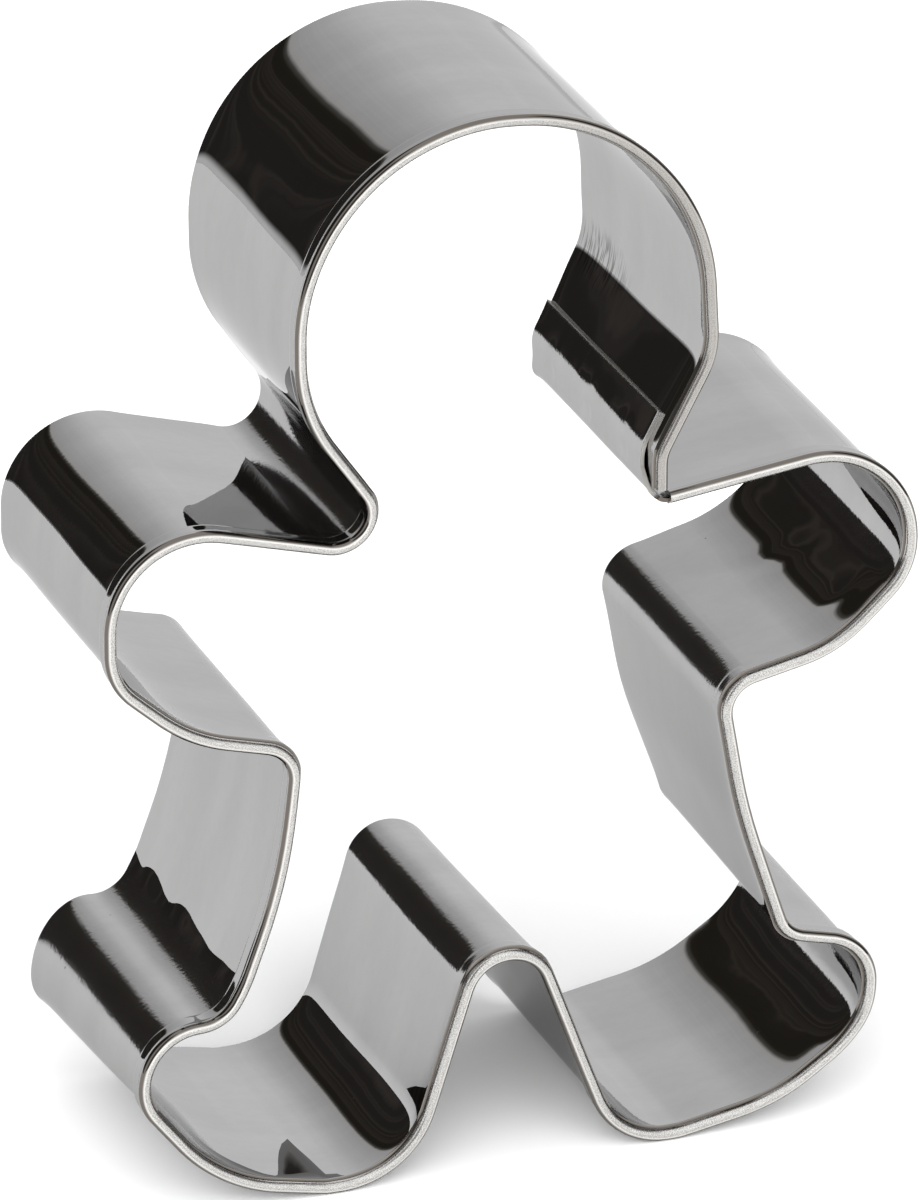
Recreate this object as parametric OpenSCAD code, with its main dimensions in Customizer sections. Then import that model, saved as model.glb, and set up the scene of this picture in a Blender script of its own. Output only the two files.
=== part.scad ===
// Gingerbread figure cookie cutter, bent from one strip of stainless steel.
// The strip stands on its soles: X is the width, Z the height and Y the depth of the strip.
// The folded rim that a hand presses on faces -Y, and the cutting edge faces +Y.

/* [Strip] */
// Depth of the strip from the folded rim to the cutting edge
strip_depth = 25; // [15:1:40]
// Thickness of the steel
steel_t = 0.3; // [0.2:0.05:0.4]
// Thickness of the folded rim over both layers
rim_t = 0.85; // [0.8:0.05:1.1]
// How far the folded layer comes back along the outside
fold_len = 2; // [1.5:0.1:4]

/* [Figure] */
// Height of the figure above the soles, inside the strip
figure_h = 81; // [76:1:92]
// Height where the shoulders leave the neck
shoulder_z = 49.8; // [48:0.2:52]

/* [Head] */
// Width of the head inside the strip
head_w = 30.6; // [27:0.2:36]
// Bend radius of the crown on each side
crown_r = 15; // [11:0.5:16]
// How far the jaw lies above the shoulders, where the cheeks turn in to the neck
jaw_rise = 11.4; // [9:0.2:14]
// Bend radius of the left cheek
cheek_r = 12; // [6:0.5:14]
// Width of the neck inside the strip
neck_w = 21; // [18:0.2:25]
// How far the neck's bend lies above the shoulders
neck_rise = 2.6; // [1.4:0.2:4]
// Bend radius of the neck
neck_r = 2; // [1.5:0.1:3]

/* [Arms] */
// Span over both hands inside the strip
arm_span = 60.5; // [54:0.5:72]
// How far the corner above the hand lies over the shoulders
hand_rise = 3.4; // [2:0.2:5]
// How far the corner below the hand lies under the shoulders
hand_drop = 7.6; // [6:0.2:9]
// Bend radius above the hand
hand_top_r = 6.6; // [4:0.2:7]
// Bend radius below the hand
hand_low_r = 4.8; // [3:0.2:6]
// How far the forearm's bend lies under the shoulders
forearm_drop = 12.7; // [11.4:0.1:13.6]
// How far the forearm's bend lies outside the armpit
forearm_run = 9; // [6:0.5:11]
// How far the armpits lie under the shoulders
armpit_drop = 14.8; // [13.8:0.2:17]
// Bend radius of the armpits
armpit_r = 2.7; // [1.5:0.1:4]

/* [Legs] */
// Width of the waist inside the strip, at the armpits
waist_w = 31.6; // [27:0.2:35]
// Width over the thighs inside the strip
thigh_w = 34.7; // [32:0.2:40]
// Height of the thighs' bend
thigh_z = 25; // [21:0.5:29]
// Width over the ankles inside the strip
ankle_w = 42.4; // [39:0.2:46]
// Height of the ankles
ankle_z = 13.9; // [12.8:0.1:15]
// Bend radius of the ankles
ankle_r = 2.5; // [1.5:0.1:4]
// Span over both feet inside the strip
foot_span = 55.6; // [52:0.2:62]
// Height of the toes
toe_z = 13; // [12.4:0.1:14]
// Bend radius of the toes
toe_r = 3.6; // [2.5:0.1:4.5]
// Length of the toes, from their tip to the bend under the foot
toe_run = 6.2; // [5:0.2:8]
// Spacing between the heels, from corner to corner
heel_gap = 16.6; // [13:0.2:19]
// Length of the flat of a sole
sole_len = 4.7; // [4:0.1:6]
// Bend radius of the heels
heel_r = 5.4; // [3:0.2:6]
// Height of the fork between the legs
fork_z = 16.5; // [13:0.5:20]
// Width of the fork
fork_w = 5.2; // [4.2:0.1:6]
// Bend radius of the fork
fork_r = 3.6; // [2.5:0.1:4]

/* [Joint] */
// Gap between the head's end and the shoulder's rim
seam_gap = 0.3; // [0.2:0.05:0.6]
// Length of the strip's end above its upper bend, inside the head's end
tab_rise = 2.6; // [1.6:0.1:4]
// How far the strip's end is cut back from the rim
tab_setback = 2.4; // [1.5:0.1:4]
// Bend radius where the strip's end turns up from the shoulder
tab_r = 1.2; // [0.8:0.1:1.6]
// Bend radius where the strip's two ends lean out to the jaw
lean_r = 3; // [2:0.2:4]
// Gap that the spot welds bridge
lap_gap = 0.05; // [0.02:0.01:0.1]
// Diameter of a spot weld
weld_d = 1.6; // [1:0.1:2]
// Number of spot welds across the strip
weld_count = 3; // [2:1:5]

/* [Hidden] */

// Largest angle between two points of a bend, in degrees
arc_step = 10;
// Sides of the fold's rounded front, over its half turn
fold_sides = 5;
// Overlap that cuts take past a face
past = 1;
// Depth at which the flat wall ends and the fold's half turn starts
wall_depth = strip_depth - rim_t / 2;
// Distance from the head end's inside to the tab's inside
lap_step = steel_t + lap_gap;
// The seam's side of the neck, on the head's end
seam_x = neck_w / 2 + lap_step;
// Clear edge of the steel round a weld
weld_edge = 0.1;
// Height of the corner above the right hand, and the slope of the shoulder that runs up to it
right_hand_z = shoulder_z + hand_rise - 0.8;
shoulder_slope = atan2(right_hand_z - shoulder_z, (arm_span - neck_w) / 2);
// Length that the neck's bend takes from the tab
neck_reach = tab_r * tan((90 + shoulder_slope) / 2);
// Height of the seam, where the head's end stops above the shoulder's rim
seam_z = shoulder_z + (lap_step + rim_t) * tan(shoulder_slope) + rim_t / cos(shoulder_slope) + seam_gap;
// Height of the welds, on the flat between the two bends of the strip's end
weld_z = max(seam_z, shoulder_z + neck_reach) + weld_edge + weld_d / 2;
// Height where the strip's two ends lean out to the jaw
lean_z = weld_z + weld_d / 2 + weld_edge + 0.3 * lean_r;

// Bends of the strip's inside as [x, height, radius], in the order in which the strip is bent.
// Each side was bent by hand, so the small numbers are how far a bend strays from its mirror image.
right_arm = [
    [arm_span / 2, right_hand_z, hand_top_r + 0.3],
    [arm_span / 2, shoulder_z - hand_drop, hand_low_r + 0.4],
    [waist_w / 2 + forearm_run + 0.2, shoulder_z - forearm_drop - 0.1, 9],
    [waist_w / 2 - 0.3, shoulder_z - armpit_drop, armpit_r - 0.3],
];
right_leg = [
    [thigh_w / 2 - 0.05, thigh_z - 0.2, 40],
    [ankle_w / 2 - 0.4, ankle_z, ankle_r + 0.3],
    [foot_span / 2 - 0.1, toe_z - 0.7, toe_r],
    [foot_span / 2 - 0.5, toe_z - 6.5, 5],
    [foot_span / 2 - toe_run - 0.8, 1.6, 9],
    [heel_gap / 2 + sole_len - 0.2, 0, 5],
    [heel_gap / 2 - 0.1, 0, heel_r],
];
fork = [
    [fork_w / 2 - 0.5, fork_z - 0.1, fork_r - 0.1],
    [-fork_w / 2 - 0.5, fork_z, fork_r + 0.1],
];
left_leg = [
    [-heel_gap / 2, 0.3, heel_r + 0.3],
    [-heel_gap / 2 - sole_len - 0.2, 0, 5],
    [-foot_span / 2 + toe_run - 0.8, 1.6, 12],
    [-foot_span / 2 - 0.3, toe_z - 4, 3.5],
    [-foot_span / 2, toe_z + 0.9, toe_r + 0.3],
    [-ankle_w / 2 - 0.4, ankle_z - 0.1, ankle_r - 0.3],
    [-thigh_w / 2 + 0.15, thigh_z, 45],
];
left_arm = [
    [-waist_w / 2 - 0.3, shoulder_z - armpit_drop, armpit_r + 0.3],
    [-waist_w / 2 - forearm_run + 0.3, shoulder_z - forearm_drop + 0.1, 12],
    [-arm_span / 2, shoulder_z - hand_drop + 0.1, hand_low_r - 0.3],
    [-arm_span / 2, shoulder_z + hand_rise + 0.9, hand_top_r - 0.3],
    [-neck_w / 2 - 2.1, shoulder_z - 0.4, neck_r + 0.6],
];
head = [
    [-neck_w / 2 + 0.6, shoulder_z + neck_rise, neck_r],
    [-head_w / 2 - 0.5, shoulder_z + jaw_rise, cheek_r],
    [-head_w / 2 - 0.5, figure_h + 1.3, crown_r - 0.4],
    [head_w / 2 - 1.4, figure_h - 1.5, crown_r + 0.3],
    [head_w / 2 - 0.5, shoulder_z + jaw_rise + 0.1, cheek_r / 2],
    [seam_x, lean_z, lean_r],
    [seam_x, seam_z, 0],
];

// The head's end, which the tab follows on its inside
jaw = first_two(head[4]);
seam = first_two(head[5]);
tab_slope = unit(jaw - seam);
tab_bend = seam - lap_step * mitre(left_of(-tab_slope), left_of([0, -1]));
tab = [
    concat(tab_bend + tab_rise * tab_slope, 0),
    concat(tab_bend, lean_r + lap_step),
    [neck_w / 2, shoulder_z, tab_r],
];

strip = concat(tab, right_arm, right_leg, fork, left_leg, left_arm, head);
last_bend = len(strip) - 1;
// The strip's bend at the neck belongs to the tab, and the wall starts after it
neck_bend = len(tab) - 1;

// Plane geometry
function first_two(v) = [v[0], v[1]];
function unit(v) = v / norm(v);
function left_of(v) = [-v[1], v[0]];
function cross2(a, b) = a[0] * b[1] - a[1] * b[0];
function mitre(a, b) = (a + b) / (1 + a * b);
function turned(v, angle) = v * cos(angle) + left_of(v) * sin(angle);
function reverse(list) = [for (i = [len(list) - 1 : -1 : 0]) list[i]];

// Corner i of the strip, the direction after it and the turn at it
function corner(i) = first_two(strip[i]);
function run(i) = norm(corner(i + 1) - corner(i));
function heading(i) = unit(corner(i + 1) - corner(i));
function is_end(i) = i == 0 || i == last_bend;
function turn(i) = is_end(i) ? 0 : atan2(cross2(heading(i - 1), heading(i)), heading(i - 1) * heading(i));
// Length that the bend's own radius takes from each run, and what the runs leave it
function wanted(i) = is_end(i) ? 0 : strip[i][2] * tan(abs(turn(i)) / 2);
function share(i) = min(1, run(i) / max(wanted(i) + wanted(i + 1), 0.001));
function reach(i) = is_end(i) ? 0 : wanted(i) * min(share(i - 1), share(i));
function radius(i) = reach(i) / tan(abs(turn(i)) / 2);

// Points of a bend, each with the normal that points to the outside of the figure
function bend_steps(i) = max(1, ceil(abs(turn(i)) / arc_step));
function bend_points(i) =
    let (
        side = sign(turn(i)),
        start = corner(i) - heading(i - 1) * reach(i),
        normal = left_of(heading(i - 1)),
        centre = start + normal * side * radius(i)
    )
    [for (k = [0 : bend_steps(i)])
        let (n = turned(normal, turn(i) * k / bend_steps(i)))
        [centre - n * side * radius(i), n]];

function end_point(i, run_index) = [[corner(i), left_of(heading(run_index))]];
function join(lists) = [for (list = lists) for (item = list) item];

// Two bends that meet share their point, which is kept once
function is_new(path, i) = i == 0 || norm(path[i][0] - path[i - 1][0]) > 0.001;
function spaced(path) = [for (i = [0 : len(path) - 1]) if (is_new(path, i)) path[i]];

tab_path = spaced(join([end_point(0, 0), join([for (i = [1 : neck_bend]) bend_points(i)])]));
wall_path = spaced(join([
    [tab_path[len(tab_path) - 1]],
    join([for (i = [neck_bend + 1 : last_bend - 1]) bend_points(i)]),
    end_point(last_bend, last_bend - 1),
]));

// The path moved outwards by u
function moved(path, u) = [for (p = path) p[0] + u * p[1]];

// A flat strip along a path, drawn flat with its depth upwards
module flat_strip(path, depth) {
    linear_extrude(depth)
        polygon(concat(moved(path, 0), reverse(moved(path, steel_t))));
}

// Skin of the fold as [distance outwards, depth]: a half turn of radius r, then the layer that comes back
fold_r = rim_t / 2;
function fold_skin(r) = concat(
    [for (k = [0 : fold_sides])
        let (angle = 180 * k / fold_sides)
        [fold_r - r * cos(angle), wall_depth + r * sin(angle)]],
    [[fold_r + r, strip_depth - fold_len]]
);

// Sweeps the band between two skins along a path
module swept(path, outer, inner) {
    rings = len(path);
    half = len(outer);
    sides = 2 * half;
    section = concat(outer, reverse(inner));
    points = [for (p = path) for (s = section) [p[0][0] + s[0] * p[1][0], p[0][1] + s[0] * p[1][1], s[1]]];
    walls = [for (i = [0 : rings - 2]) for (j = [0 : sides - 1])
        let (k = (j + 1) % sides, a = i * sides, b = a + sides)
        each [[a + j, a + k, b + k], [a + j, b + k, b + j]]];
    caps = [for (j = [0 : half - 2])
        let (k = sides - 1 - j, b = (rings - 1) * sides)
        each [[j + 1, j, k], [j + 1, k, k - 1], [b + j, b + j + 1, b + k], [b + j + 1, b + k - 1, b + k]]];
    polyhedron(points, concat(walls, caps), convexity = 12);
}

// Stands the flat drawing on its soles, with the rim towards -Y
module stand_up() {
    translate([0, strip_depth / 2, rim_t]) rotate([90, 0, 0]) children();
}

// Flat body of the strip, from the shoulder's seam round the figure to the head's seam
module cutting_wall() {
    color("silver") stand_up() flat_strip(wall_path, wall_depth);
}

// Front edge of the strip, folded outwards on itself
module rolled_rim() {
    color("gainsboro") stand_up() swept(wall_path, fold_skin(fold_r), fold_skin(fold_r - steel_t));
}

// The strip's other end, bent up inside the neck and snipped back from the rim
module lap_tab() {
    snip_top = shoulder_z + tab_setback;
    tab_depth = strip_depth - tab_setback;
    color("darkgray") stand_up() difference() {
        flat_strip(tab_path, wall_depth);
        translate([neck_w / 2 - past, 0, 0]) rotate([90, 0, 90])
            linear_extrude(tab_rise + steel_t + tab_r + 2 * past)
                polygon([
                    [shoulder_z, strip_depth],
                    [snip_top, tab_depth],
                    [figure_h, tab_depth],
                    [figure_h, strip_depth + past],
                    [shoulder_z, strip_depth + past],
                ]);
    }
}

// Weld nuggets between the tab and the head's end, in a row across the strip
module spot_welds() {
    weld_pitch = (strip_depth - tab_setback) / weld_count;
    color("dimgray") stand_up()
        for (k = [0 : weld_count - 1])
            translate([neck_w / 2 + steel_t, weld_z, (k + 0.5) * weld_pitch])
                rotate([0, 90, 0]) cylinder(h = lap_gap, d = weld_d, $fn = 32);
}

cutting_wall();
rolled_rim();
lap_tab();
spot_welds();
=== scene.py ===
# %% [markdown]
# # A cookie cutter bent from one strip of polished steel
# The real cutter is one strip of stainless steel, 25 mm deep and 0.3 mm thick. One long edge is folded
# over so that it doesn't hurt the hand, and the strip is then bent round pins into a gingerbread figure.
# Its two ends lap at the neck, where spot welds hold them.
#
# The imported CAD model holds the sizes. This script dresses it: it builds each piece again as a fine mesh
# with true bends, a real fold and the small dents of hand work, and gives each its finish.

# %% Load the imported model
import math
from collections import namedtuple

import bpy
import numpy as np
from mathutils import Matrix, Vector


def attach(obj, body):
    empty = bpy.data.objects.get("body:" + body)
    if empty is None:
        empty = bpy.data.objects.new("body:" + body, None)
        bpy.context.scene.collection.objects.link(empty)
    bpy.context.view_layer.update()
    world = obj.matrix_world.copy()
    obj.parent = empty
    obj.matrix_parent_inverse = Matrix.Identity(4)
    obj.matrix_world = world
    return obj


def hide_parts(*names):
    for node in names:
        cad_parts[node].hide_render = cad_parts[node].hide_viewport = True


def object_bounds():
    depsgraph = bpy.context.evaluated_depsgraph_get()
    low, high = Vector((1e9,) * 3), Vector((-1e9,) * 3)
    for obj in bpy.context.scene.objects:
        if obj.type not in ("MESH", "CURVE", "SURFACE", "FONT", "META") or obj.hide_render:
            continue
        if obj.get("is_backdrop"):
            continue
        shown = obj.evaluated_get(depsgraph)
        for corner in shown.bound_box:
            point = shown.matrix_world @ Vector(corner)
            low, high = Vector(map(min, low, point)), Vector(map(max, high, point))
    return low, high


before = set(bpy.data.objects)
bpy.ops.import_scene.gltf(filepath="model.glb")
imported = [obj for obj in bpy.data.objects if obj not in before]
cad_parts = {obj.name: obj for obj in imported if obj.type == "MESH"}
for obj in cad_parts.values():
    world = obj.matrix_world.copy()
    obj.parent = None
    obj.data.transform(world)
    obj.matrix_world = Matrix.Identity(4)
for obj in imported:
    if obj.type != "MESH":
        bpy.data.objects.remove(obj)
cad_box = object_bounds()
print("nodes:", ", ".join(sorted(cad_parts)))
print("box in mm:", [round(1000 * (high - low), 1) for low, high in zip(*cad_box)])

# %% [markdown]
# ## The camera
# The photograph was taken from the left and a little above, with a long lens. A camera can be placed by
# its position and angles, but it is easier to think of a point that it looks at, a direction and a
# distance, so those are the named values here. They were solved from the photograph and then rounded.
# The lens is long, so the figure hardly tapers.

# %% Place the camera
MM = 0.001
aim_point = Vector((0.25, 0.0, 39.9)) * MM
camera_azimuth = math.radians(-20.05)
camera_elevation = math.radians(23.83)
camera_distance = 1.1117
camera_lens = 459.6

camera = bpy.data.objects.new("camera", bpy.data.cameras.new("camera"))
bpy.context.scene.collection.objects.link(camera)
away = Vector((
    math.sin(camera_azimuth) * math.cos(camera_elevation),
    -math.cos(camera_azimuth) * math.cos(camera_elevation),
    math.sin(camera_elevation),
))
camera.location = aim_point + away * camera_distance
camera.rotation_euler = (math.pi / 2 - camera_elevation, 0, camera_azimuth)
camera.data.sensor_fit = "VERTICAL"
camera.data.sensor_height = 36
camera.data.lens = camera_lens
camera.data.clip_end = 20
bpy.context.scene.camera = camera
bpy.context.scene.view_settings.view_transform = "Standard"
print("camera at", [round(value, 3) for value in camera.location])

# %% [markdown]
# ## Small helpers for shader nodes
# Every finish here is a net of nodes. Linking them by hand takes three lines for each node, so one helper
# makes a node, sets its options and fills its inputs, with a number or with another node's output.

# %% Helpers that add a node and a sum
def add(tree, kind, inputs=None, **options):
    """A node with its options set and its inputs filled, each by a value or by a socket."""
    made = tree.nodes.new(kind)
    for name, value in options.items():
        setattr(made, name, value)
    for name, value in (inputs or {}).items():
        if isinstance(value, bpy.types.NodeSocket):
            tree.links.new(value, made.inputs[name])
        else:
            made.inputs[name].default_value = value
    return made


def calc(tree, operation, *values):
    """The result of a Math node."""
    return add(tree, "ShaderNodeMath", dict(enumerate(values)), operation=operation).outputs[0]


def mix(tree, share, colour_a, colour_b):
    """A colour between two others."""
    return add(tree, "ShaderNodeMix", {0: share, 6: colour_a, 7: colour_b}, data_type="RGBA").outputs[2]


def fade(tree, value, start, end, low=0.0, high=1.0):
    """A smooth change from low to high while the value goes from start to end."""
    ranged = add(tree, "ShaderNodeMapRange", {
        "Value": value, "From Min": start, "From Max": end, "To Min": low, "To Max": high,
    }, interpolation_type="SMOOTHSTEP")
    return ranged.outputs["Result"]


def band(tree, value, middle, core, edge, strength=1.0):
    """As strong as it gets within the core round a middle value, and 0 beyond the edge."""
    away = calc(tree, "ABSOLUTE", calc(tree, "SUBTRACT", value, middle))
    return fade(tree, away, core, edge, strength, 0.0)


def noise(tree, place, scale, detail=2.0):
    """Soft noise about 0.5."""
    inputs = {"Vector": place, "Scale": scale, "Detail": detail}
    return add(tree, "ShaderNodeTexNoise", inputs).outputs["Fac"]


print("node helpers ready")

# %% [markdown]
# ## The light
# Polished steel has hardly a colour of its own: it shows the room, so the room is half of the finish.
# Lamps and cards could stand round the part as objects, but then they would have to be hidden from the
# camera and would shade the floor. The world can hold the same room as a formula of the direction. The
# azimuth tells the white tent from the black flags, whose upright edges are crisp, and the elevation ends
# the flags at the table below them and at the lamp above. Faint upright bars keep the flags from being
# flat black. Only mirrors see the room: rays from the camera see plain white, and the floor gets an even
# light and that of a wide window, which lies before the cutter and to its left.

# %% Stops of the room
# Azimuth in degrees, from straight behind the cutter to the right, and the light there
ROOM = [
    (-180, (1.05, 1.05, 1.05)),
    (-158, (1.25, 1.25, 1.25)),
    (-149, (0.16, 0.155, 0.15)),
    (-124, (0.10, 0.10, 0.10)),
    (-116, (0.90, 0.90, 0.90)),
    (-88, (0.95, 0.95, 0.96)),
    (-80, (0.05, 0.045, 0.04)),
    (-34, (0.030, 0.027, 0.026)),
    (-16, (0.024, 0.021, 0.016)),
    (-14.1, (0.036, 0.031, 0.022)),
    (-13.8, (0.56, 0.55, 0.54)),
    (-6, (0.65, 0.65, 0.66)),
    (2, (0.75, 0.75, 0.76)),
    (10, (0.90, 0.90, 0.91)),
    (18, (1.03, 1.03, 1.04)),
    (27, (1.10, 1.10, 1.11)),
    (70, (1.08, 1.08, 1.09)),
    (80, (0.12, 0.115, 0.11)),
    (112, (0.10, 0.10, 0.10)),
    (122, (0.92, 0.92, 0.92)),
    (150, (1.10, 1.10, 1.10)),
    (180, (1.05, 1.05, 1.05)),
]
TABLE_LIGHT = (0.84, 0.84, 0.84, 1)
LAMP_LIGHT = (1.05, 1.05, 1.05, 1)
TABLE_EDGE = (-6.0, -3.2)
LAMP_EDGE = (56, 64)
BAR_LIGHT = 0.035
BAR_TINT = (1.0, 0.86, 0.74, 1)
WINDOW = Vector((-0.32, -0.80, 0.50))
WINDOW_LIGHT = 4.8
WINDOW_POWER = 4.0
EVEN_LIGHT = 0.82
BLACK = (0, 0, 0, 1)
WHITE = (1, 1, 1, 1)


def room_ramp(tree, azimuth, stops):
    """The colour at an azimuth in degrees."""
    share = calc(tree, "ADD", calc(tree, "DIVIDE", azimuth, 360), 0.5)
    ramp = add(tree, "ShaderNodeValToRGB", {"Fac": share})
    elements = ramp.color_ramp.elements
    while len(elements) < len(stops):
        elements.new(1.0)
    for element, (degrees, colour) in zip(elements, stops):
        element.position = degrees / 360 + 0.5
        element.color = (*colour, 1)
    return ramp.outputs["Color"]


print(len(ROOM), "stops round the room")

# %% Make the world
def make_world():
    """White for the camera, the room for mirrors, and soft light from the front left for the floor."""
    world = bpy.data.worlds.new("studio")
    world.use_nodes = True
    tree = world.node_tree
    tree.nodes.clear()
    direction = add(tree, "ShaderNodeTexCoord").outputs["Generated"]
    parts = add(tree, "ShaderNodeSeparateXYZ", {0: direction})
    azimuth = calc(tree, "DEGREES", calc(tree, "ARCTAN2", parts.outputs["X"], parts.outputs["Y"]))
    elevation = calc(tree, "DEGREES", calc(tree, "ARCSINE", parts.outputs["Z"]))
    stretched = add(tree, "ShaderNodeCombineXYZ", {
        "X": calc(tree, "MULTIPLY", azimuth, 0.7), "Y": calc(tree, "MULTIPLY", elevation, 0.012),
    })
    bars = noise(tree, stretched.outputs[0], 1.0, 3.0)
    faint = fade(tree, bars, 0.45, 0.80, 0.0, BAR_LIGHT)
    walls = add(tree, "ShaderNodeVectorMath", {
        0: room_ramp(tree, azimuth, ROOM), 1: mix(tree, faint, BLACK, BAR_TINT),
    }, operation="ADD").outputs[0]
    over_table = mix(tree, fade(tree, elevation, *TABLE_EDGE), TABLE_LIGHT, walls)
    room = mix(tree, fade(tree, elevation, *LAMP_EDGE), over_table, LAMP_LIGHT)
    facing = add(tree, "ShaderNodeVectorMath", {
        0: direction, 1: WINDOW.normalized(),
    }, operation="DOT_PRODUCT")
    window = calc(tree, "POWER", calc(tree, "MAXIMUM", facing.outputs["Value"], 0.0), WINDOW_POWER)
    soft = calc(tree, "ADD", EVEN_LIGHT, calc(tree, "MULTIPLY", WINDOW_LIGHT, window))
    path = add(tree, "ShaderNodeLightPath")
    glossy = calc(tree, "MAXIMUM", path.outputs["Is Glossy Ray"], path.outputs["Is Transmission Ray"])
    seen = mix(tree, path.outputs["Is Camera Ray"], mix(tree, glossy, soft, room), WHITE)
    background = add(tree, "ShaderNodeBackground", {"Color": seen, "Strength": 1.0})
    add(tree, "ShaderNodeOutputWorld", {"Surface": background.outputs[0]})
    bpy.context.scene.world = world
    return world


print("world:", make_world().name)

# %% [markdown]
# ## The floor
# The cutter stands on white paper. The paper has to stay white where nothing shades it and still take
# the cutter's soft shadow, so it is a plain diffuse sheet with a little light of its own, which only the
# camera sees. Mirrors see a darker paper, because the photographed steel shows the table as grey. The
# sheet is round and wide enough for its edge to lie outside every view.

# %% Lay the floor
FLOOR_RADIUS = 0.6
FLOOR_SIDES = 96
PAPER = (0.82, 0.82, 0.82, 1)
PAPER_IN_MIRRORS = (0.66, 0.66, 0.66, 1)
PAPER_GLOW = 0.04


def make_floor():
    """A round sheet of paper at the height on which the soles stand."""
    rim = [2 * math.pi * k / FLOOR_SIDES for k in range(FLOOR_SIDES)]
    mesh = bpy.data.meshes.new("floor")
    corners = [(FLOOR_RADIUS * math.cos(a), FLOOR_RADIUS * math.sin(a), 0) for a in rim]
    mesh.from_pydata(corners, [], [range(FLOOR_SIDES)])
    floor = bpy.data.objects.new("floor", mesh)
    bpy.context.scene.collection.objects.link(floor)
    paper = bpy.data.materials.new("white paper")
    paper.use_nodes = True
    tree = paper.node_tree
    shader = tree.nodes["Principled BSDF"]
    shader.inputs["Roughness"].default_value = 0.9
    shader.inputs["Specular IOR Level"].default_value = 0.0
    shader.inputs["Emission Color"].default_value = WHITE
    by_camera = add(tree, "ShaderNodeLightPath").outputs["Is Camera Ray"]
    tone = mix(tree, by_camera, PAPER_IN_MIRRORS, PAPER)
    tree.links.new(tone, shader.inputs["Base Color"])
    glow = calc(tree, "MULTIPLY", by_camera, PAPER_GLOW)
    tree.links.new(glow, shader.inputs["Emission Strength"])
    mesh.materials.append(paper)
    floor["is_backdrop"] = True
    return floor


print("floor of", 2 * FLOOR_RADIUS, "m:", make_floor().name)

# %% [markdown]
# ## The strip's bends
# The figure's outline could be drawn freehand as a curve, but a curve has no bends of a known radius.
# The cutter was bent round pins, so its outline is a list of corners, each with the radius of its bend,
# and straight runs between them. The list follows the CAD source's own sizes. The cutting edge isn't a
# perfect copy of the folded edge, because a fold stiffens a strip and its free edge springs back in its
# own way, so a bend may say how far its free edge strays.

# %% The strip's sizes, in millimetres
strip_depth = 25.0
steel_t = 0.3
rim_t = 0.85
fold_len = 2.0
lap_gap = 0.05
lap_step = steel_t + lap_gap

figure_h = 81.0
shoulder_z = 49.8
head_w = 30.6
neck_w = 21.0
arm_span = 60.5
waist_w = 31.6
thigh_w = 34.7
ankle_w = 42.4
foot_span = 55.6
heel_gap = 16.6
fork_w = 5.2
fork_z = 16.5
seam_x = neck_w / 2 + lap_step
# The heights of the seam and of the head's last bend, as the CAD source works them out
seam_z = 51.115
lean_z = 53.87

Bend = namedtuple("Bend", "x z r back", defaults=[(0.0, 0.0)])
box_width = (cad_box[1].x - cad_box[0].x) / MM
print("arm span with the rim:", arm_span + 2 * rim_t, "and the CAD box's width:", round(box_width, 2))

# %% Bends from the right shoulder down to the fork
right_arm = [
    Bend(arm_span / 2, shoulder_z + 2.6, 6.9),
    Bend(arm_span / 2, shoulder_z - 7.6, 5.2),
    Bend(waist_w / 2 + 9.2, shoulder_z - 12.8, 9, (0.0, 0.5)),
    Bend(waist_w / 2 - 0.3, shoulder_z - 14.8, 3),
]
right_leg = [
    Bend(thigh_w / 2 - 0.05, 24.8, 40),
    Bend(ankle_w / 2 - 0.4, 13.9, 2.8, (0.3, 0.3)),
    Bend(foot_span / 2 - 0.1, 12.3, 3.6),
    Bend(foot_span / 2 - 0.5, 7.4, 5),
    Bend(foot_span / 2 - 2.2, 5.0, 9),
    Bend(foot_span / 2 - 7.4, 1.4, 14),
    Bend(heel_gap / 2 + 4.5, 0, 5),
    Bend(heel_gap / 2 - 0.1, 0, 5.4),
]
fork = [
    Bend(fork_w / 2 - 0.5, fork_z - 0.1, 3.5, (-0.7, -0.2)),
    Bend(-fork_w / 2 - 0.5, fork_z, 3.7, (-0.3, 0.1)),
]
print(len(right_arm) + len(right_leg) + len(fork), "bends on the right and in the fork")

# %% Bends from the left heel up to the head's end
left_leg = [
    Bend(-heel_gap / 2 - 0.1, 0, 6.8),
    Bend(-heel_gap / 2 - 6.1, 0, 4),
    Bend(-foot_span / 2 + 5.4, 1.6, 12, (-0.4, -0.2)),
    Bend(-foot_span / 2 - 0.3, 8.7, 3.5, (-0.5, -1.7)),
    Bend(-foot_span / 2 + 0.2, 13.7, 4.4),
    Bend(-ankle_w / 2 - 0.8, 13.6, 4),
    Bend(-ankle_w / 2 + 1.0, 16.8, 12),
    Bend(-thigh_w / 2 + 0.15, 25, 45),
]
left_arm = [
    Bend(-waist_w / 2 - 0.3, shoulder_z - 14.8, 3),
    Bend(-waist_w / 2 - 8.7, shoulder_z - 12.6, 12),
    Bend(-arm_span / 2, shoulder_z - 7.5, 4.5),
    Bend(-arm_span / 2, shoulder_z + 4.3, 6.3),
    Bend(-neck_w / 2 - 1.9, shoulder_z - 0.5, 3.4, (0.3, -0.3)),
]
head = [
    Bend(-neck_w / 2 + 0.8, shoulder_z + 2.6, 3),
    Bend(-head_w / 2 - 0.5, shoulder_z + 11.4, 12, (0.15, 0.0)),
    Bend(-head_w / 2 - 0.5, figure_h + 1.3, 14.6, (-0.15, 0.1)),
    Bend(head_w / 2 - 1.4, figure_h - 1.5, 15.3, (-0.3, 0.0)),
    Bend(head_w / 2 - 0.5, shoulder_z + 11.5, 6, (-0.55, 0.0)),
    Bend(seam_x, lean_z, 3),
    Bend(seam_x, seam_z, 0),
]
print(len(left_leg) + len(left_arm) + len(head), "bends on the left and in the head")

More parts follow.
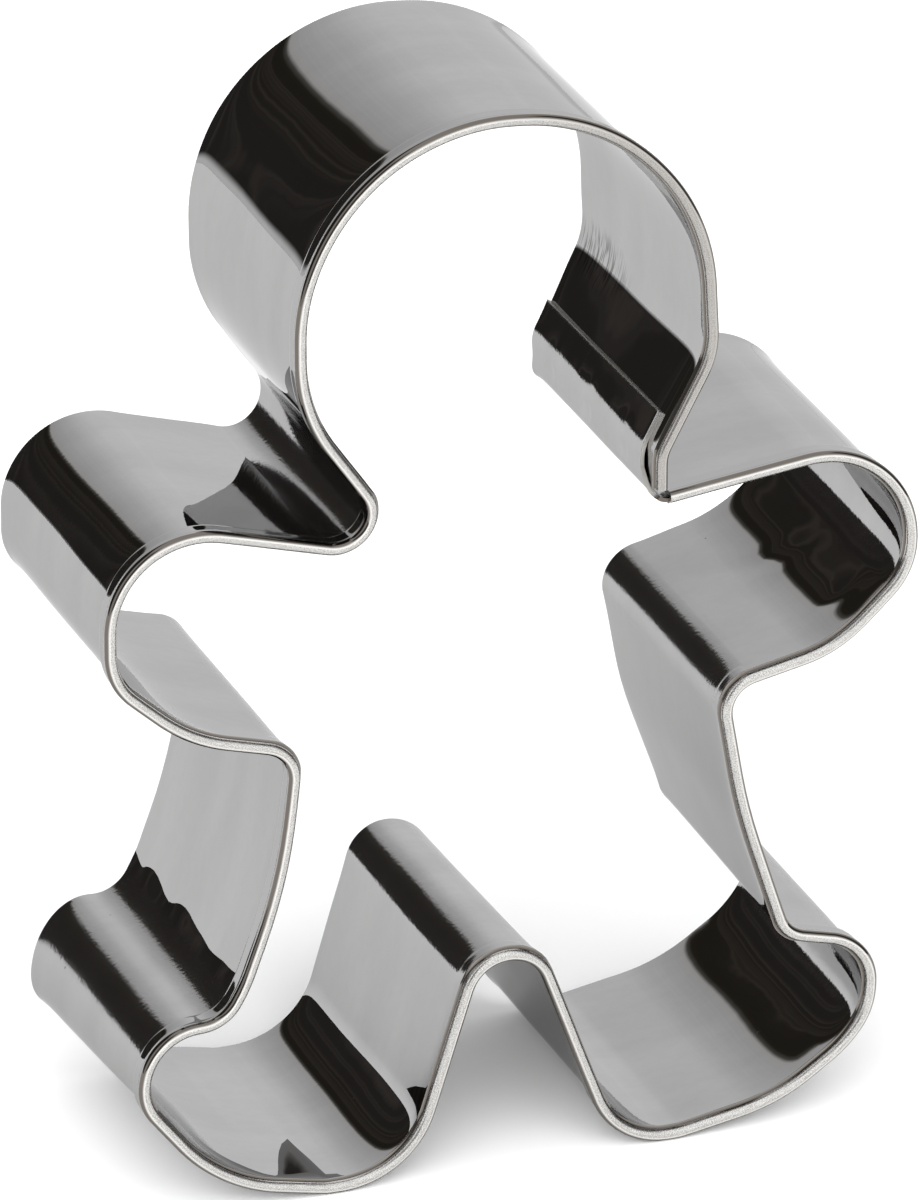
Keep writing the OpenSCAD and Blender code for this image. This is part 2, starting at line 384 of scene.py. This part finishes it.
# %% [markdown]
# The strip's other end is the tab: it comes up from the shoulder, and follows the head's end on its
# inside. Its upper bend is therefore the head's bend, moved inwards by the steel and a small gap, and a
# little lower, because above the welds the tab springs away from the head.

# %% The tab's bends
tab_rise = 3.0
tab_drop = 0.4


def left_of(v):
    """The vector turned a quarter turn to the left."""
    return np.array([-v[1], v[0]])


jaw = np.array([head[4].x, head[4].z])
seam = np.array([head[5].x, head[5].z])
tab_slope = (jaw - seam) / np.hypot(*(jaw - seam))
side_above = left_of(-tab_slope)
side_below = left_of(np.array([0.0, -1.0]))
mitre = (side_above + side_below) / (1 + side_above @ side_below)
tab_bend = seam - lap_step * mitre - np.array([0.0, tab_drop])
tab_end = tab_bend + tab_rise * tab_slope
tab = [
    Bend(*tab_end, 0, (-0.35, 0.0)),
    Bend(*tab_bend, 3 + lap_step, (-0.15, 0.0)),
    Bend(neck_w / 2, shoulder_z, 1.2),
]
bends = tab + right_arm + right_leg + fork + left_leg + left_arm + head
print("the whole strip has", len(bends) - 2, "bends; the tab's end is at", np.round(tab_end, 2))

# %% [markdown]
# ## From bends to stations
# Each bend becomes a true arc that touches both runs. A station is kept every two degrees of a bend and
# every 0.8 mm of a run, or closer in the lap. A real bend doesn't start all at once, and a mirror shows
# any sudden change of curvature as a kink in what it reflects, so the stations are then averaged over a
# third of a millimetre along the strip.

# %% Walk along the strip
ARC_STEP = math.radians(2)
RUN_STEP = 0.8
LAP_STEP = 0.15
SMALLEST_STEP = 0.02


def run_places(start, end, step):
    """Points between two places, without the places themselves."""
    count = max(1, math.ceil(np.hypot(*(end - start)) / step))
    return [start + (end - start) * k / count for k in range(1, count)]


def walk(bends, lap_runs):
    """Points along the strip's inside, and the numbers of each bend's middle and last station."""
    corners = np.array([(b.x, b.z) for b in bends])
    runs = np.diff(corners, axis=0)
    lengths = np.hypot(*runs.T)
    headings = runs / lengths[:, None]
    turns = np.zeros(len(bends))
    for i in range(1, len(bends) - 1):
        a, b = headings[i - 1], headings[i]
        turns[i] = math.atan2(a[0] * b[1] - a[1] * b[0], a @ b)
    wanted = np.array([b.r for b in bends]) * np.tan(np.abs(turns) / 2)
    share = np.minimum(1, lengths / np.maximum(wanted[:-1] + wanted[1:], 0.001))
    points, middles, ends = [corners[0]], [0], [0]
    for i in range(1, len(bends) - 1):
        reach = wanted[i] * min(share[i - 1], share[i])
        radius = reach / math.tan(abs(turns[i]) / 2)
        side = math.copysign(1, turns[i])
        start = corners[i] - headings[i - 1] * reach
        normal = left_of(headings[i - 1])
        centre = start + normal * side * radius
        points += run_places(points[-1], start, LAP_STEP if i - 1 in lap_runs else RUN_STEP)
        steps = max(2, math.ceil(abs(turns[i]) / ARC_STEP))
        first = len(points)
        for k in range(steps + 1):
            angle = turns[i] * k / steps
            spoke = normal * math.cos(angle) + left_of(normal) * math.sin(angle)
            point = centre - spoke * side * radius
            if np.hypot(*(point - points[-1])) > SMALLEST_STEP:
                points.append(point)
        middles.append((first + len(points) - 1) // 2)
        ends.append(len(points) - 1)
    points += run_places(points[-1], corners[-1], LAP_STEP) + [corners[-1]]
    middles.append(len(points) - 1)
    ends.append(len(points) - 1)
    return np.array(points), middles, ends


lap_runs = {*range(len(tab)), len(bends) - 2, len(bends) - 3}
raw_points, bend_middles, bend_ends = walk(bends, lap_runs)
print(len(raw_points), "stations")

# %% Average the stations and find which way is out
EASE = 0.33
STRAY_EASE = 1.5
BEND_EASE = 0.5


def eased(values, along, width):
    """Values averaged along the strip with a bell of the given width, ends kept."""
    gaps = np.gradient(along)
    weights = np.exp(-0.5 * ((along[:, None] - along[None, :]) / width) ** 2) * gaps[None, :]
    mean = (weights @ values) / weights.sum(1, keepdims=True)
    near_end = np.minimum(along - along[0], along[-1] - along)
    blend = np.clip(near_end / (3 * width), 0, 1)[:, None]
    return values * (1 - blend) + mean * blend


steps = np.hypot(*np.diff(raw_points, axis=0).T)
along = np.concatenate([[0], np.cumsum(steps)])
inside = eased(raw_points, along, EASE)
tangents = np.gradient(inside, along, axis=0)
tangents /= np.hypot(*tangents.T)[:, None]
outward = np.stack([-tangents[:, 1], tangents[:, 0]], 1)
strays = np.array([b.back for b in bends])
stray_at = np.stack([np.interp(along, along[bend_middles], strays[:, k]) for k in (0, 1)], 1)
stray_at = eased(stray_at, along, STRAY_EASE)
neck_station = bend_ends[len(tab) - 1]
jaw_along = along[bend_middles[-3]]
print("strip length in mm:", round(along[-1], 1), "of which the tab takes", round(along[neck_station], 1))

# %% [markdown]
# ## One surface for all pieces
# Wall, fold and tab are all the same strip, so one function gives a point of it: how far along, how far
# out from the inside, and how deep behind the folded edge. It also holds the small waves that rolling and
# handling leave in a thin strip. Each is about a hundredth of a millimetre high, far too small to see as
# shape, but a mirror shows them as the wobbling edges of its reflections. The few dents are up to a tenth
# or so of a millimetre high and are listed by the bend that they lie at. The free edge springs outwards,
# and the tighter a bend, the more the steel's skin is strained there, which its finish uses later.

# %% A point of the strip
WAVES = [
    # height, length along the strip, length across it, start, all in millimetres but the last
    (0.006, 9.7, 17.0, 0.4),
    (0.005, -13.3, 11.0, 2.1),
    (0.003, 6.1, -23.0, 4.4),
    (0.012, 47.0, 21.0, 1.2),
]
flat_flare = 0.06
bend_flare = 0.30
flare_reach = 0.9
strain_start = 0.14
strain_span = 0.14
heading = np.unwrap(np.arctan2(tangents[:, 1], tangents[:, 0]))
curving = eased(-np.gradient(heading, along)[:, None], along, BEND_EASE)[:, 0]
strain = np.clip((np.abs(curving) - strain_start) / strain_span, 0, 1)


def wave(along_mm, depth):
    """Height of the strip's waves."""
    total = 0.0
    for height, length, across, start in WAVES:
        total = total + height * np.sin(2 * math.pi * (along_mm / length + depth / across) + start)
    return total


Dent = namedtuple("Dent", "bend shift depth height length width turned")
DENTS = [
    # a bend's number, places from it along and deep, height outwards, reach each way, turn in degrees
    Dent(5, 1.5, 15.2, 0.08, 4.5, 0.85, 27),
    Dent(5, -2.2, 4.6, 0.06, 1.6, 1.0, 20),
    Dent(5, -1.0, 1.6, -0.12, 3.2, 2.4, 0),
    Dent(22, 2.6, 21.6, 0.05, 1.3, 1.4, 0),
    Dent(22, 2.4, 18.2, -0.04, 1.2, 1.1, 20),
    Dent(22, 2.6, 14.6, 0.06, 1.4, 1.8, 0),
    Dent(22, 2.3, 8.6, -0.05, 1.4, 2.0, 0),
    Dent(22, -1.9, 12.8, -0.04, 1.0, 1.2, 0),
    Dent(1, -0.5, 20.5, 0.03, 0.9, 1.3, 0),
    Dent(1, -0.4, 16.2, -0.03, 0.8, 1.0, 20),
    Dent(1, -0.3, 13.6, 0.04, 0.9, 0.9, 0),
    Dent(1, -0.5, 10.1, -0.02, 0.9, 1.4, 0),
    Dent(1, -0.4, 6.6, 0.04, 0.8, 0.9, 0),
]


def dents(along_mm, depth):
    """Height of the long shallow dents."""
    total = 0.0
    for dent in DENTS:
        turn = math.radians(dent.turned)
        right = along_mm - along[bend_middles[dent.bend]] - dent.shift
        back = depth - dent.depth
        long = (right * math.cos(turn) + back * math.sin(turn)) / dent.length
        wide = (back * math.cos(turn) - right * math.sin(turn)) / dent.width
        total = total + dent.height * np.exp(-long ** 2 - wide ** 2)
    return total


def flare(stations, depth):
    """How far the cutting edge springs outwards, more so in a bend."""
    height = flat_flare + bend_flare * curving[stations][:, None]
    return height * np.exp((depth - strip_depth) / flare_reach)


def strip_points(stations, out, depth):
    """Points in metres, with a row for each station and a column for each place across the strip."""
    out = np.broadcast_to(out, (len(inside[stations]), np.shape(depth)[-1]))
    depth = np.broadcast_to(depth, out.shape)
    along_mm = along[stations][:, None]
    lift = out + wave(along_mm, depth) + flare(stations, depth)
    lift = lift + dents(along_mm, depth)
    share = depth / strip_depth

    def moved(axis):
        """Places on one axis of the outline, lifted off the inside and strayed at the back."""
        lifted = inside[stations, axis][:, None] + outward[stations, axis][:, None] * lift
        return lifted + stray_at[stations, axis][:, None] * share

    return np.stack([moved(0), depth - strip_depth / 2, moved(1) + rim_t], 2) * MM


print("waves of", sum(w[0] for w in WAVES), "mm at most")

# %% [markdown]
# ## A closed sheet from two skins
# Each piece is a sheet with an inner and an outer skin. Joining the skins along their four edges closes
# the mesh, so that it can be printed or cut as a solid. The unrolled place of each point, which is how
# far along the strip it is and how deep, is kept on the mesh: the finish was put on the flat strip, so
# its marks follow the strip round the bends. The third number of that place tells the outside from the
# inside. How raw and how strained the steel is there is kept as well.

# %% Join two skins
SHARP = math.radians(40)
OUTSIDE = 40.0


def sheet_faces(rows, columns):
    """Faces of a closed sheet whose inner points come first, row by row, and then its outer points."""
    def at(row, column, skin):
        return skin * rows * columns + row * columns + column
    faces = []
    for r in range(rows - 1):
        for c in range(columns - 1):
            faces.append((at(r, c, 0), at(r, c + 1, 0), at(r + 1, c + 1, 0), at(r + 1, c, 0)))
            faces.append((at(r, c, 1), at(r + 1, c, 1), at(r + 1, c + 1, 1), at(r, c + 1, 1)))
    for r in range(rows - 1):
        faces.append((at(r, 0, 0), at(r + 1, 0, 0), at(r + 1, 0, 1), at(r, 0, 1)))
        last = columns - 1
        faces.append((at(r, last, 0), at(r, last, 1), at(r + 1, last, 1), at(r + 1, last, 0)))
    for c in range(columns - 1):
        faces.append((at(0, c, 0), at(0, c, 1), at(0, c + 1, 1), at(0, c + 1, 0)))
        last = rows - 1
        faces.append((at(last, c, 0), at(last, c + 1, 0), at(last, c + 1, 1), at(last, c, 1)))
    return faces


def make_sheet(name, stations, inner, outer, depth, sheared=0.0):
    """An object from two skins, which keeps each point's unrolled place, how raw it is and how strained."""
    rows, columns = inner.shape[:2]
    mesh = bpy.data.meshes.new(name)
    mesh.from_pydata(np.concatenate([inner, outer]).reshape(-1, 3).tolist(), [], sheet_faces(rows, columns))
    depth = np.broadcast_to(depth, (rows, columns))
    along_mm = np.broadcast_to(along[stations][:, None], depth.shape)
    sides = [np.stack([along_mm, depth, np.full(depth.shape, side)], 2) for side in (0.0, OUTSIDE)]
    unrolled = mesh.attributes.new("unrolled", "FLOAT_VECTOR", "POINT")
    unrolled.data.foreach_set("vector", np.concatenate(sides).astype(np.float32).ravel())
    for mark, values in (("raw", sheared), ("strain", strain[stations][:, None])):
        values = np.concatenate([np.broadcast_to(values, (rows, columns))] * 2)
        kept = mesh.attributes.new(mark, "FLOAT", "POINT")
        kept.data.foreach_set("value", values.astype(np.float32).ravel())
    mesh.polygons.foreach_set("use_smooth", np.ones(len(mesh.polygons), bool))
    mesh.set_sharp_from_angle(angle=SHARP)
    mesh.update()
    made = bpy.data.objects.new(name, mesh)
    bpy.context.scene.collection.objects.link(made)
    print(f"{name}: {rows} stations, {len(mesh.polygons)} faces, closed: {is_closed(mesh)}")
    return made


def is_closed(mesh):
    """True if each edge has two faces."""
    count = np.zeros(len(mesh.edges), int)
    edge_of = np.zeros(len(mesh.loops), int)
    mesh.loops.foreach_get("edge_index", edge_of)
    np.add.at(count, edge_of, 1)
    return bool((count == 2).all())


print("an example of two faces:", sheet_faces(2, 2)[:2])

# %% [markdown]
# ## The wall
# The wall is the strip's flat body. Its free edge is the one that cuts, and it is sheared square, with
# the burr just broken. Beside the fold it bulges inwards by a fifth of a millimetre, where the folding
# roller pushed the steel, and in a tight bend a small step lies behind the bulge. Flat sides would do for
# the outline, but the bulge is what ends the black reflections in round tips a little before the rim.

# %% Build the wall
broken_edge = 0.04
hem_bulge = 0.19
bulge_reach = 1.2
wall_start = 0.6
crease_width = 0.14
step_height = 0.07
step_depth = 1.6
step_width = 0.45
step_bend = 0.22
step_bend_span = 0.10
wall_stations = np.arange(neck_station, len(along))


def spread(start, end, count):
    """Evenly spaced depths."""
    return np.linspace(start, end, count)


def smooth(share):
    """A smooth rise from 0 to 1."""
    share = np.clip(share, 0, 1)
    return share * share * (3 - 2 * share)


def bulge(stations, depth):
    """How far the fold pushes the wall inwards: most in the crease, then fading, with a step in bends."""
    rise = smooth((depth - wall_start) / crease_width)
    swell = hem_bulge * rise * np.exp((wall_start + 0.1 - depth) / bulge_reach)
    tight = smooth((np.abs(curving[stations])[:, None] - step_bend) / step_bend_span)
    return swell + step_height * tight * rise * (1 - smooth((depth - step_depth) / step_width))


def build_wall():
    """The wall from the shoulder's seam round the figure to the head's seam."""
    near = np.concatenate([spread(wall_start, 0.78, 7), spread(0.9, 2.1, 17), spread(2.3, 5.4, 14)])
    far = spread(6.0, strip_depth - 4.0, 16)
    edge = strip_depth - np.array([3.0, 2.2, 1.6, 1.1, 0.7, 0.4, 0.2, broken_edge, 0])
    depth = np.concatenate([near, far, edge])
    inner_out = -bulge(wall_stations, depth)
    outer_out = steel_t + inner_out
    inner_out[:, -1] += broken_edge
    outer_out[:, -1] -= broken_edge
    inner = strip_points(wall_stations, inner_out, depth)
    outer = strip_points(wall_stations, outer_out, depth)
    return make_sheet("strip_wall", wall_stations, inner, outer, depth)


wall = build_wall()

# %% [markdown]
# ## The folded rim
# The edge is folded outwards on itself. A hard fold would crack polished steel, so the fold stays open as
# a round bead at the front, and behind the bead the returning layer is pressed down on the wall. Its raw
# edge shows as a thin bright line 2 mm behind the front. A tube along the outline would give the bead
# alone, so the rim is swept as two skins of the real section: bead, hollow, flat flank and raw edge.

# %% Build the rim
bead_r = 0.45
bead_start = math.radians(-20)
pressed_t = 0.74
hollow_end = 1.0
raw_edge_r = 0.12
face_wear = 0.8
hidden_wear = -0.3


def fold_skin(inset):
    """A skin of the fold, inset below its face: places out, places deep and the way round it."""
    angle = spread(bead_start, math.pi, 23)
    bead_out = rim_t - bead_r - (bead_r - inset) * np.cos(angle)
    bead_deep = bead_r - (bead_r - inset) * np.sin(angle)
    hollow = spread(bead_r, hollow_end, 9)[1:]
    flank = np.array([1.35, 1.7, fold_len - raw_edge_r, fold_len - 0.5 * raw_edge_r, fold_len])
    deep = np.concatenate([hollow, flank])
    out = rim_t - inset - (rim_t - pressed_t) * smooth((deep - bead_r) / (hollow_end - bead_r))
    worn = np.clip((deep - fold_len + raw_edge_r) / raw_edge_r, 0, 1) ** 2
    out = out - raw_edge_r * worn * (face_wear if inset == 0 else hidden_wear)
    way = np.concatenate([bead_r * (angle - math.pi / 2), bead_r * math.pi / 2 + deep - bead_r])
    return np.concatenate([bead_out, out]), np.concatenate([bead_deep, deep]), way


def build_rim():
    """The fold along the strip's front edge, as far as the wall goes."""
    face_out, face_deep, way = fold_skin(0.0)
    hidden_out, hidden_deep, _ = fold_skin(steel_t)
    face = strip_points(wall_stations, face_out, face_deep)
    hidden = strip_points(wall_stations, hidden_out, hidden_deep)
    return make_sheet("folded_rim", wall_stations, face, hidden, way)


rim = build_rim()

# %% [markdown]
# ## The lap tab
# The strip's other end turns up at the neck. It has no fold: before bending, its front corner was snipped
# off so that it clears the rim, and the snips leave an edge that curls. The electrodes of the spot welder
# press shallow dimples into it. They are shape and not only shading, because the dark reflection above
# them breaks up along their edges.

# %% Build the tab
tab_setback = 2.4
tab_stations = np.arange(0, neck_station + 1)
weld_z = 52.07
weld_count = 3
weld_pitch = (strip_depth - tab_setback) / weld_count
weld_depths = [strip_depth - (k + 0.5) * weld_pitch for k in range(weld_count)]
dimple_r = 0.75
dimple_deep = 0.07
lip_r = 1.05
lip_width = 0.15
lip_height = 0.015
curl = 0.16
curl_start = 0.5
curl_reach = 0.6
snip_reach = 0.25
top_reach = 0.2


def dimple(height, depth):
    """How far the welder's electrode pressed the steel in, with the low lip round it."""
    total = 0.0
    for weld_depth in weld_depths:
        away = np.hypot(height - weld_z, depth - weld_depth)
        total = total + dimple_deep * np.exp(-(away / dimple_r) ** 4)
        total = total - lip_height * np.exp(-((away - lip_r) / lip_width) ** 2)
    return total


def build_tab():
    """The strip's snipped end, from its raw top edge down to the shoulder."""
    height = inside[tab_stations, 1]
    front = np.clip(height - shoulder_z, bead_r, tab_setback)[:, None]
    near = np.array([0, 0.05, 0.1, 0.2, 0.3, 0.45, 0.6, 0.8]) / strip_depth
    across = np.concatenate([near, spread(1.1, strip_depth, 84) / strip_depth])
    depth = front + (strip_depth - front) * across
    free = np.clip((height - shoulder_z - curl_start) / curl_start, 0, 1)[:, None]
    curled = curl * free * np.clip(1 - (depth - front) / curl_reach, 0, 1) ** 2
    inner = strip_points(tab_stations, dimple(height[:, None], depth) - curled, depth)
    outer = strip_points(tab_stations, steel_t - curled, depth)
    top = np.clip(1 - along[tab_stations][:, None] / top_reach, 0, 1)
    snip = free * np.clip(1 - (depth - front) / snip_reach, 0, 1)
    return make_sheet("lap_end", tab_stations, inner, outer, depth, np.maximum(top, snip))


lap_end = build_tab()
print("weld dimples at depths", np.round(weld_depths, 1))

# %% [markdown]
# ## Polished steel
# A mirror finish is more than a low roughness. The rolling leaves a faint orange peel, cloths and other
# cutters leave hairline scratches that run mostly along and across the strip, and there is a pit here and
# there. All of it is made of noise at sizes in millimetres on the unrolled strip. Where a scratch crosses
# a dark reflection it looks light, because its sides mirror another part of the room. A tight bend
# strains the polish, which is duller and pebbled there. Beside the jaw the inside has fine dark lines,
# which are colour and not relief.

# %% Helpers for marks on the strip
STEEL = (0.44, 0.438, 0.438, 1)
EDGE_TINT = (0.74, 0.74, 0.74, 1)
CREASE_DIRT_AND_SHADE = (0.15, 0.125, 0.10, 1)
LOW_TONE = (0.43, 0.428, 0.428, 1)
HIGH_TONE = (0.46, 0.458, 0.458, 1)
GREY_PATCH = (0.30, 0.29, 0.29, 1)
PIT_DARK = (0.16, 0.15, 0.14, 1)
CHATTER_DARK = (0.10, 0.095, 0.09, 1)
RAW_EDGE_HIGHLIGHT = (0.62, 0.60, 0.57, 1)
chatter_along = jaw_along + 0.6
chatter_depth = 21.0
chatter_length = 2.8
chatter_width = 7.5


def start_material(name):
    """A new material, its tree and its shader."""
    material = bpy.data.materials.new(name)
    material.use_nodes = True
    tree = material.node_tree
    shader = tree.nodes["Principled BSDF"]
    shader.inputs["Metallic"].default_value = 1.0
    shader.inputs["Specular Tint"].default_value = EDGE_TINT
    return material, tree, shader


def unrolled_place(tree, scale=(1, 1, 1), turned=0.0):
    """The place on the unrolled strip, scaled and turned."""
    place = add(tree, "ShaderNodeAttribute", attribute_name="unrolled").outputs["Vector"]
    return add(tree, "ShaderNodeMapping", {
        "Vector": place, "Rotation": (0, 0, math.radians(turned)), "Scale": scale,
    }).outputs[0]


def strip_noise(tree, scale, detail=2.0, turned=0.0):
    """Noise on the unrolled strip, with so many spots to the millimetre each way."""
    return noise(tree, unrolled_place(tree, scale, turned), 1.0, detail)


def unrolled(tree):
    """The unrolled place's numbers: X along the strip, Y deep behind the folded edge, Z which side.

    On the rim, Y is how far a point lies round the bead.
    """
    return add(tree, "ShaderNodeSeparateXYZ", {0: unrolled_place(tree)}).outputs


def hairlines(tree, turned, length, spacing, width, share):
    """Thin broken lines: 1 on a line and 0 beside it."""
    line = band(tree, strip_noise(tree, (1 / length, 1 / spacing, 1), 0.0, turned), 0.5, 0.0, width)
    patches = strip_noise(tree, (0.22, 0.31, 1), turned=turned + 35)
    return calc(tree, "MULTIPLY", line, fade(tree, patches, 1 - share, 1.06 - share))


def pits(tree, spacing, size, share):
    """Small round pits: 1 in a pit and 0 beside it."""
    cells = add(tree, "ShaderNodeTexVoronoi", {"Vector": unrolled_place(tree), "Scale": 1 / spacing})
    dot = fade(tree, cells.outputs["Distance"], 0.4 * size / spacing, size / spacing, 1.0, 0.0)
    chosen = add(tree, "ShaderNodeSeparateColor", {"Color": cells.outputs["Color"]}).outputs["Red"]
    return calc(tree, "MULTIPLY", dot, calc(tree, "LESS_THAN", chosen, share))


def chatter(tree):
    """Fine dark lines on the inside, beside the jaw, where a bending roller chattered near the far edge."""
    place = unrolled(tree)
    right = calc(tree, "DIVIDE", calc(tree, "SUBTRACT", place["X"], chatter_along), chatter_length)
    back = calc(tree, "DIVIDE", calc(tree, "SUBTRACT", place["Y"], chatter_depth), chatter_width)
    squares = calc(tree, "ADD", calc(tree, "POWER", right, 2), calc(tree, "POWER", back, 2))
    away = calc(tree, "SQRT", squares)
    lines = fade(tree, strip_noise(tree, (0.4, 4.0, 0.3), 1.0), 0.46, 0.60)
    lines = calc(tree, "MULTIPLY", lines, calc(tree, "LESS_THAN", place["Z"], OUTSIDE / 2))
    return calc(tree, "MULTIPLY", lines, fade(tree, away, 0.3, 1.0, 1.0, 0.0))


def bump(tree, height, micrometres, normal=None):
    """A normal bent by a height that is 1 at so many micrometres."""
    inputs = {"Height": height, "Distance": micrometres * 1e-6, "Strength": 1.0}
    if normal is not None:
        inputs["Normal"] = normal
    return add(tree, "ShaderNodeBump", inputs).outputs["Normal"]


print("mark helpers ready")

# %% Make the polished steel
def polished(name, scratch_share=0.30):
    """Mirror-polished strip with orange peel, hairlines, pits, chatter lines and strained bends."""
    material, tree, shader = start_material(name)
    across_lines = hairlines(tree, 74, 30, 0.9, 0.007, scratch_share)
    along_lines = hairlines(tree, 8, 38, 1.3, 0.005, scratch_share)
    lines = calc(tree, "MAXIMUM", across_lines, along_lines)
    pit = pits(tree, 2.3, 0.11, 0.10)
    raw = add(tree, "ShaderNodeAttribute", attribute_name="raw").outputs["Fac"]
    strained = add(tree, "ShaderNodeAttribute", attribute_name="strain").outputs["Fac"]
    tone = strip_noise(tree, (0.06, 0.2, 1))
    colour = mix(tree, fade(tree, tone, 0.3, 0.7), LOW_TONE, HIGH_TONE)
    grey = strip_noise(tree, (0.9, 1.3, 1), 3.0)
    colour = mix(tree, fade(tree, grey, 0.35, 0.7, 0.0, 0.06), colour, GREY_PATCH)
    colour = mix(tree, pit, colour, PIT_DARK)
    colour = mix(tree, calc(tree, "MULTIPLY", chatter(tree), 0.75), colour, CHATTER_DARK)
    # painted crease shade and dirt: darker where the wall meets the fold
    colour = mix(tree, fade(tree, unrolled(tree)["Y"], 0.64, 0.78, 0.9, 0.0), colour, CREASE_DIRT_AND_SHADE)
    # the raw edges are rougher, and their lighter colour is a painted highlight along them
    colour = mix(tree, raw, colour, RAW_EDGE_HIGHLIGHT)
    tree.links.new(colour, shader.inputs["Base Color"])
    rough = fade(tree, strip_noise(tree, (0.11, 0.16, 1)), 0.35, 0.75, 0.0, 0.025)
    for mark, gain in ((lines, 0.14), (pit, 0.35), (raw, 0.4), (strained, 0.13)):
        rough = calc(tree, "ADD", rough, calc(tree, "MULTIPLY", mark, gain))
    tree.links.new(rough, shader.inputs["Roughness"])
    peel = bump(tree, strip_noise(tree, (0.24, 0.36, 0.3), 1.0), 4)
    pebbles = strip_noise(tree, (3.0, 3.6, 0.3))
    peel = bump(tree, calc(tree, "MULTIPLY", pebbles, strained), 14, peel)
    marks = calc(tree, "SUBTRACT", 1.0, calc(tree, "MAXIMUM", lines, pit))
    tree.links.new(bump(tree, marks, 1.0, peel), shader.inputs["Normal"])
    return material


def dress(piece, material, slot_name, *nodes):
    """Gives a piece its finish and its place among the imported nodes."""
    piece.data.materials.clear()
    piece.data.materials.append(material)
    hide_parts(*nodes)
    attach(piece, "root")
    print(piece.name, "stands for", ", ".join(nodes), "in", material.name)


dress(wall, polished("polished strip"), "polished_strip", "cutting_wall")
dress(lap_end, polished("polished strip end", 0.42), "tab_steel", "lap_tab")

# %% [markdown]
# ## The rim's satin
# The folding rollers rub the bead to a fine grain that runs along it, and hands keep it bright, while the
# flank stays as polished as the strip. The way round the bead is kept on the mesh, so one material can
# change from satin at the front to a mirror at the flank, with a painted highlight, a thin bright line, and
# a painted dark reflection, a brown band, between them. The crease beside the wall is darkened with
# painted shade and dirt. Towards its end on the head's right side the fold is darker, partly worn and
# partly painted shade.

# %% Make the rim's steel
RUBBED_LOW = (0.46, 0.445, 0.425, 1)
RUBBED_HIGH = (0.74, 0.73, 0.71, 1)
PAINTED_HIGHLIGHT_LINE = (0.92, 0.90, 0.86, 1)
DARKER_END_WEAR_AND_SHADE = (0.36, 0.34, 0.32, 1)
PAINTED_DARK_REFLECTION = (0.11, 0.085, 0.06, 1)
darkening_from = jaw_along - 36
darkening_to = jaw_along - 14


def rim_steel():
    """Grainy satin at the front, polished flank, painted highlight and dark reflection, painted crease
    shade and dirt.
    """
    material, tree, shader = start_material("rim steel")
    place = unrolled(tree)
    way = place["Y"]
    rubbed = band(tree, way, -0.22, 0.36, 0.46)
    streaks = strip_noise(tree, (1.1, 11.0, 1.0), 3.0)
    specks = strip_noise(tree, (9.0, 11.0, 1.0))
    grain = calc(tree, "ADD", calc(tree, "MULTIPLY", streaks, 0.35), calc(tree, "MULTIPLY", specks, 0.65))
    front = mix(tree, fade(tree, grain, 0.36, 0.62), RUBBED_LOW, RUBBED_HIGH)
    colour = mix(tree, rubbed, STEEL, front)
    # a painted highlight: a thin bright line round the front of the bead
    colour = mix(tree, band(tree, way, 0.16, 0.03, 0.10, 0.8), colour, PAINTED_HIGHLIGHT_LINE)
    # darker towards the fold's end on the head's right side: partly wear, partly painted shade
    colour = mix(tree, fade(tree, place["X"], darkening_from, darkening_to, 0.0, 0.6), colour, DARKER_END_WEAR_AND_SHADE)
    # a painted dark reflection: a dark brown band on the outer side of the bead
    colour = mix(tree, band(tree, way, 0.46, 0.12, 0.24, 0.78), colour, PAINTED_DARK_REFLECTION)
    # painted crease shade and dirt: darker where the bead meets the wall
    crease = fade(tree, way, -0.84, -0.74, 1.0, 0.0)
    tree.links.new(mix(tree, crease, colour, CREASE_DIRT_AND_SHADE), shader.inputs["Base Color"])
    rough = calc(tree, "MULTIPLY", rubbed, fade(tree, grain, 0.3, 0.7, 0.16, 0.26))
    rough = calc(tree, "ADD", rough, calc(tree, "MULTIPLY", crease, 0.3))
    tree.links.new(calc(tree, "ADD", rough, 0.05), shader.inputs["Roughness"])
    worn = calc(tree, "MULTIPLY", grain, rubbed)
    tree.links.new(bump(tree, worn, 8), shader.inputs["Normal"])
    return material


dress(rim, rim_steel(), "rim_steel", "rolled_rim")

# %% [markdown]
# ## The weld nuggets
# The nuggets lie between the two layers of the lap, where the CAD holds them as thin discs of the right
# size, so these nodes stay and only get a finish: dull steel with the straw and blue tint that welding
# heat leaves.

# %% Tint the welds
STRAW = (0.30, 0.27, 0.22, 1)
BLUE = (0.20, 0.22, 0.27, 1)


def weld_steel():
    """Dull melted steel with a heat tint."""
    material, tree, shader = start_material("weld steel")
    place = add(tree, "ShaderNodeTexCoord").outputs["Object"]
    mottle = noise(tree, place, 2500.0, 3.0)
    tint = mix(tree, fade(tree, mottle, 0.35, 0.65), STRAW, BLUE)
    tree.links.new(tint, shader.inputs["Base Color"])
    tree.links.new(fade(tree, mottle, 0.3, 0.7, 0.35, 0.6), shader.inputs["Roughness"])
    tree.links.new(bump(tree, mottle, 20), shader.inputs["Normal"])
    return material


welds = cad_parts["spot_welds"]
for weld_slot in welds.material_slots:
    weld_slot.material = weld_steel()
print("spot_welds keeps its shape and has", len(welds.material_slots), "finish")

# %% [markdown]
# ## The size
# The dressed part has to be as large as the CAD part, because other things are fitted to the CAD. Both
# boxes are measured, and the difference is printed.

# %% Measure both boxes and print their difference
visual_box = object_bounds()
for corner_name, cad_corner, visual_corner in zip(("lowest", "highest"), cad_box, visual_box):
    print(corner_name, "corner differs by", [round(v / MM, 3) for v in visual_corner - cad_corner], "mm")
